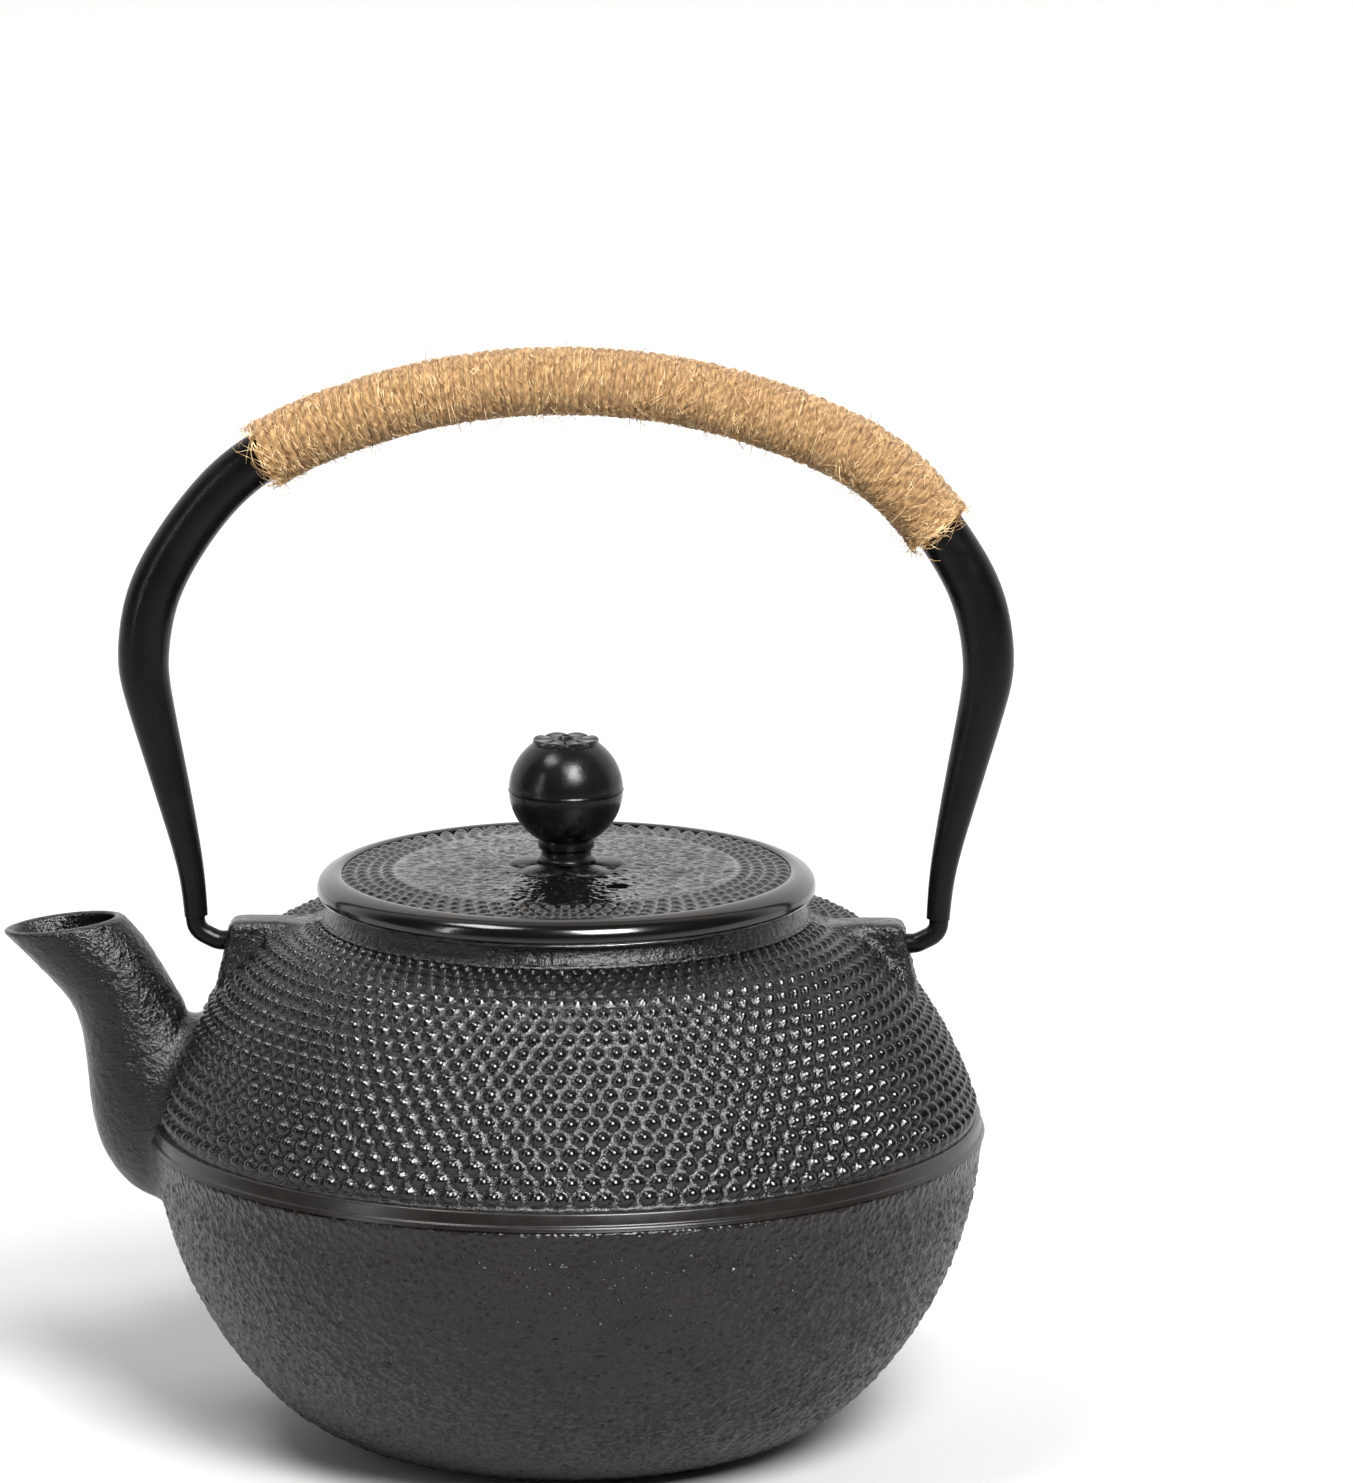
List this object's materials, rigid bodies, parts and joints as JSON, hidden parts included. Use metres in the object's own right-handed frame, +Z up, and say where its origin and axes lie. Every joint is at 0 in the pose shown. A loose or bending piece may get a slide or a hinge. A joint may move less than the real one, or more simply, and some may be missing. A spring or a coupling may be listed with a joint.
{
  "type": "cast iron teapot",
  "caption": "Round black cast iron teapot with hobnail shoulder, curved spout, flat lid with ball knob, lift-out steel infuser and a swinging tubular bail wrapped in jute twine.",
  "frame": {"origin": "centre of the flat foot, on the pot's axis", "axes": "+Z up along the pot's axis, -X towards the spout, the upright bail lies in the XZ plane"},
  "size_m": [0.2023, 0.167, 0.2212],
  "materials": {
    "pot_casting": "baked satin black enamel over cast texture",
    "lid_casting": "baked satin black enamel over cast texture",
    "knob_gloss": "gloss black",
    "fixing_steel": "plated",
    "infuser_steel": "polished stainless",
    "infuser_mesh": "woven stainless mesh",
    "bail_paint": "semi-gloss black",
    "jute_twine": "natural tan jute, twisted and hairy"
  },
  "bodies": {
    "pot": {"pot_body": "pot_casting", "spout": "pot_casting"},
    "infuser": {"infuser_rim": "infuser_steel", "infuser_mesh_wall": "infuser_mesh", "infuser_mesh_base": "infuser_mesh", "infuser_base_band": "infuser_steel"},
    "lid": {"lid": "lid_casting", "knob_seat": "lid_casting", "knob": "knob_gloss", "knob_washer": "fixing_steel", "knob_screw": "fixing_steel"},
    "bail": {"bail_arch": "bail_paint", "bail_hook_front": "bail_paint", "bail_hook_rear": "bail_paint", "jute_wrap": "jute_twine"}
  },
  "joints": [
    {"name": "bail_swing", "type": "hinge", "parent": "pot", "child": "bail", "pos_m": [0, 0, 0.10075], "axis": [1, 0, 0], "range_deg": [-132, 132]},
    {"name": "infuser_lift", "type": "slide", "parent": "pot", "child": "infuser", "axis": [0, 0, 1], "range_m": [0, 0.058]},
    {"name": "lid_lift", "type": "slide", "parent": "infuser", "child": "lid", "axis": [0, 0, 1], "range_m": [0, 0.055]}
  ]
}
